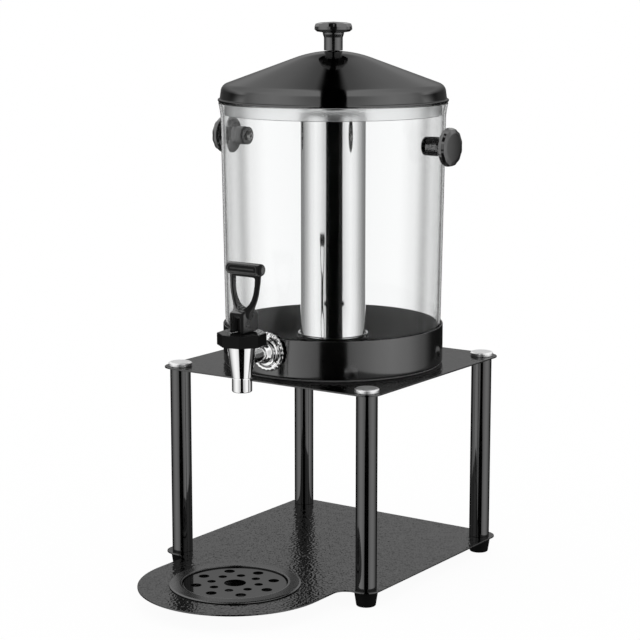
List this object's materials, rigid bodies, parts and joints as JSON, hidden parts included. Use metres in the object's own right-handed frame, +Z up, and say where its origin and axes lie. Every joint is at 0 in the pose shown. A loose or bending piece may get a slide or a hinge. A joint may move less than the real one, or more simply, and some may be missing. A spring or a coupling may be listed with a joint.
{
  "type": "juice dispenser",
  "caption": "Clear drinks dispenser with ice tube, domed lid and front tap, on a two-plate stand with a drip tray.",
  "frame": {"origin": "on the ground, under the middle of the bounding box", "axes": "+Z up; the tap and the drip tray face -Y; +X is to the right of someone behind the object who looks towards +Y"},
  "size_m": [0.2776, 0.383, 0.5441],
  "materials": {
    "hammered_black": "hammered black steel",
    "black_steel": "polished black steel",
    "polished_chrome": "polished",
    "polished_steel": "polished stainless steel",
    "plain_steel": "plain",
    "clear_plastic": "clear polycarbonate, gloss",
    "frosted_plastic": "translucent",
    "black_plastic": "gloss",
    "black_rubber": "matt",
    "silicone": "satin"
  },
  "bodies": {
    "stand": {"base_plate": "hammered_black", "upper_plate": "hammered_black", "post_front_left": "black_steel", "post_front_right": "black_steel", "post_back_left": "black_steel", "post_back_right": "black_steel", "post_cap_front_left": "polished_chrome", "post_cap_front_right": "polished_chrome", "post_cap_back_left": "polished_chrome", "post_cap_back_right": "polished_chrome", "foot_front_left": "black_rubber", "foot_front_right": "black_rubber", "foot_back_left": "black_rubber", "foot_back_right": "black_rubber", "tie_rod_front_left": "plain_steel", "tie_rod_front_right": "plain_steel", "tie_rod_back_left": "plain_steel", "tie_rod_back_right": "plain_steel"},
    "drip_tray": {"drip_tray": "black_steel"},
    "drip_grate": {"drip_grate": "black_steel"},
    "dispenser": {"base_ring": "black_steel", "tank": "clear_plastic", "side_knob_left": "black_steel", "side_knob_right": "black_steel", "side_knob_screw_left": "plain_steel", "side_knob_screw_right": "plain_steel", "side_knob_washer_left": "black_rubber", "side_knob_washer_right": "black_rubber", "tap_body": "polished_chrome", "tap_flange": "polished_chrome", "tap_gasket_outer": "black_rubber", "tap_gasket_inner": "black_rubber", "tap_lock_nut": "black_plastic", "tap_bonnet": "black_plastic"},
    "tap_stem": {"tap_stem": "black_plastic", "tap_seat_cup": "silicone", "tap_spring": "plain_steel"},
    "tap_handle": {"tap_handle": "black_plastic", "tap_pin": "plain_steel"},
    "lid": {"lid": "black_steel", "lid_knob": "black_steel", "lid_knob_screw": "plain_steel", "lid_knob_washer": "black_rubber", "lid_seal": "frosted_plastic"},
    "ice_tube": {"ice_tube": "polished_steel"}
  },
  "joints": [
    {"name": "dispenser_lift", "type": "slide", "parent": "stand", "child": "dispenser", "axis": [0, 0, 1], "range_m": [0, 0.25]},
    {"name": "lid_lift", "type": "slide", "parent": "dispenser", "child": "lid", "axis": [0, 0, 1], "range_m": [0, 0.12]},
    {"name": "ice_tube_lift", "type": "slide", "parent": "dispenser", "child": "ice_tube", "axis": [0, 0, 1], "range_m": [0, 0.045]},
    {"name": "tap_stem_lift", "type": "slide", "parent": "dispenser", "child": "tap_stem", "axis": [0, 0, 1], "range_m": [0, 0.0026], "deforming": ["tap_spring"]},
    {"name": "tap_handle_tilt", "type": "hinge", "parent": "tap_stem", "child": "tap_handle", "pos_m": [0, -0.085, 0.273], "axis": [1, 0, 0], "range_deg": [0, 36], "stiffness_Nm_per_rad": 0.06, "springref_deg": -40.11},
    {"name": "tray_lift", "type": "slide", "parent": "stand", "child": "drip_tray", "axis": [0, 0, 1], "range_m": [0, 0.06]},
    {"name": "grate_lift", "type": "slide", "parent": "drip_tray", "child": "drip_grate", "axis": [0, 0, 1], "range_m": [0, 0.06]}
  ],
  "couplings": [
    {"joint": "tap_stem_lift", "follows": "tap_handle_tilt", "m_per_rad": 0.004}
  ]
}
